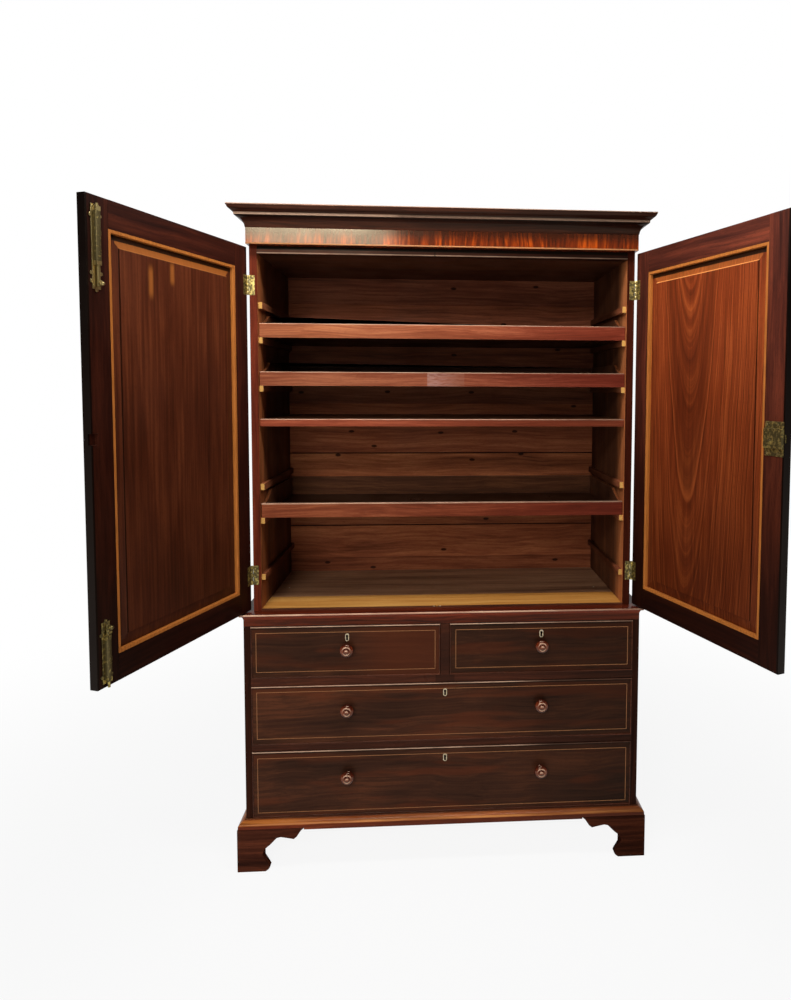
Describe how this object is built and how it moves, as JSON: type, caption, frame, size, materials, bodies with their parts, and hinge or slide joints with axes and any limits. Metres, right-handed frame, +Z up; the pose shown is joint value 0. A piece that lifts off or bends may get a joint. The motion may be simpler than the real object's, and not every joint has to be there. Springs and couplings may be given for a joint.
{
  "type": "linen press",
  "caption": "Linen press: a cupboard with sliding trays and a shelf behind panelled doors, under a moulded cornice and over drawers on bracket feet.",
  "frame": {"origin": "on the floor, at the middle of the box that the press fills with its doors at rest, 109 degrees open", "axes": "+Z up, +X to the right seen from the front, +Y to the back; the drawers and trays pull out along -Y"},
  "size_m": [1.6446, 1.0324, 2.057],
  "materials": {
    "mahogany": "dark polished mahogany",
    "cornice_veneer": "polished figured mahogany, crossbanded",
    "drawer_mahogany": "dark polished mahogany",
    "knob_mahogany": "glossy turned mahogany, nearly black",
    "door_mahogany": "dark red-brown mahogany",
    "door_panel": "polished figured mahogany",
    "tray_mahogany": "lighter, thinly polished mahogany",
    "floor_oak": "worn golden oak",
    "drawer_lining": "plain oak lining",
    "back_boards": "unpolished knotty boards of mixed tint",
    "brass": "old unlacquered brass",
    "stringing": "pale satinwood line and bead",
    "bone": "aged bone"
  },
  "bodies": {
    "case": {"base_side_left": "mahogany", "base_side_right": "mahogany", "base_top_board": "mahogany", "drawer_rail_lower": "mahogany", "drawer_rail_upper": "mahogany", "plinth_moulding": "mahogany", "foot_front_left": "mahogany", "foot_front_right": "mahogany", "foot_back_left": "mahogany", "foot_back_right": "mahogany", "upper_side_left": "mahogany", "upper_side_right": "mahogany", "upper_top_board": "mahogany", "cornice": "cornice_veneer", "base_bottom_board": "back_boards", "base_back_boards": "back_boards", "upper_back_boards": "back_boards", "upper_floor": "floor_oak", "shelf": "tray_mahogany", "hinge_case_leaf_left_bottom": "brass", "hinge_case_leaf_left_top": "brass", "hinge_case_leaf_right_bottom": "brass", "hinge_case_leaf_right_top": "brass"},
    "door_left": {"door_left_hinge_stile": "door_mahogany", "door_left_free_stile": "door_mahogany", "door_left_bottom_rail": "door_mahogany", "door_left_top_rail": "door_mahogany", "door_left_panel": "door_panel", "hinge_door_leaf_left_bottom": "brass", "hinge_door_leaf_left_top": "brass", "bolt_plate_top": "brass", "bolt_plate_bottom": "brass"},
    "door_right": {"door_right_hinge_stile": "door_mahogany", "door_right_free_stile": "door_mahogany", "door_right_bottom_rail": "door_mahogany", "door_right_top_rail": "door_mahogany", "door_right_panel": "door_panel", "hinge_door_leaf_right_bottom": "brass", "hinge_door_leaf_right_top": "brass", "lock_case": "brass"},
    "bolt_top": {"bolt_rod_top": "brass"},
    "bolt_bottom": {"bolt_rod_bottom": "brass"},
    "lock_bolt": {"lock_bolt": "brass"},
    "tray_top": {"tray_top": "tray_mahogany"},
    "tray_middle": {"tray_middle": "tray_mahogany"},
    "tray_lower": {"tray_lower": "tray_mahogany"},
    "drawer_top_left": {"drawer_top_left_front": "drawer_mahogany", "drawer_top_left_box": "drawer_lining", "knob_top_left": "knob_mahogany"},
    "drawer_top_right": {"drawer_top_right_front": "drawer_mahogany", "drawer_top_right_box": "drawer_lining", "knob_top_right": "knob_mahogany"},
    "drawer_middle": {"drawer_middle_front": "drawer_mahogany", "drawer_middle_box": "drawer_lining", "knob_middle_left": "knob_mahogany", "knob_middle_right": "knob_mahogany"},
    "drawer_bottom": {"drawer_bottom_front": "drawer_mahogany", "drawer_bottom_box": "drawer_lining", "knob_bottom_left": "knob_mahogany", "knob_bottom_right": "knob_mahogany"}
  },
  "joints": [
    {"name": "door_left_hinge", "type": "hinge", "parent": "case", "child": "door_left", "pos_m": [-0.6045, 0.05565, 1.3805], "axis": [0, 0, -1], "range_deg": [-109, 70]},
    {"name": "door_right_hinge", "type": "hinge", "parent": "case", "child": "door_right", "pos_m": [0.6045, 0.05565, 1.3805], "axis": [0, 0, 1], "range_deg": [-109, 70]},
    {"name": "bolt_top_slide", "type": "slide", "parent": "door_left", "child": "bolt_top", "axis": [0, 0, 1], "range_m": [0, 0.014]},
    {"name": "bolt_bottom_slide", "type": "slide", "parent": "door_left", "child": "bolt_bottom", "axis": [0, 0, -1], "range_m": [0, 0.011]},
    {"name": "lock_bolt_slide", "type": "slide", "parent": "door_right", "child": "lock_bolt", "axis": [0.3256, -0.9455, 0], "range_m": [0, 0.011]},
    {"name": "tray_top_slide", "type": "slide", "parent": "case", "child": "tray_top", "axis": [0, -1, 0], "range_m": [0, 0.36]},
    {"name": "tray_middle_slide", "type": "slide", "parent": "case", "child": "tray_middle", "axis": [0, -1, 0], "range_m": [0, 0.36]},
    {"name": "tray_lower_slide", "type": "slide", "parent": "case", "child": "tray_lower", "axis": [0, -1, 0], "range_m": [0, 0.36]},
    {"name": "drawer_top_left_slide", "type": "slide", "parent": "case", "child": "drawer_top_left", "axis": [0, -1, 0], "range_m": [0, 0.38]},
    {"name": "drawer_top_right_slide", "type": "slide", "parent": "case", "child": "drawer_top_right", "axis": [0, -1, 0], "range_m": [0, 0.38]},
    {"name": "drawer_middle_slide", "type": "slide", "parent": "case", "child": "drawer_middle", "axis": [0, -1, 0], "range_m": [0, 0.38]},
    {"name": "drawer_bottom_slide", "type": "slide", "parent": "case", "child": "drawer_bottom", "axis": [0, -1, 0], "range_m": [0, 0.38]}
  ]
}
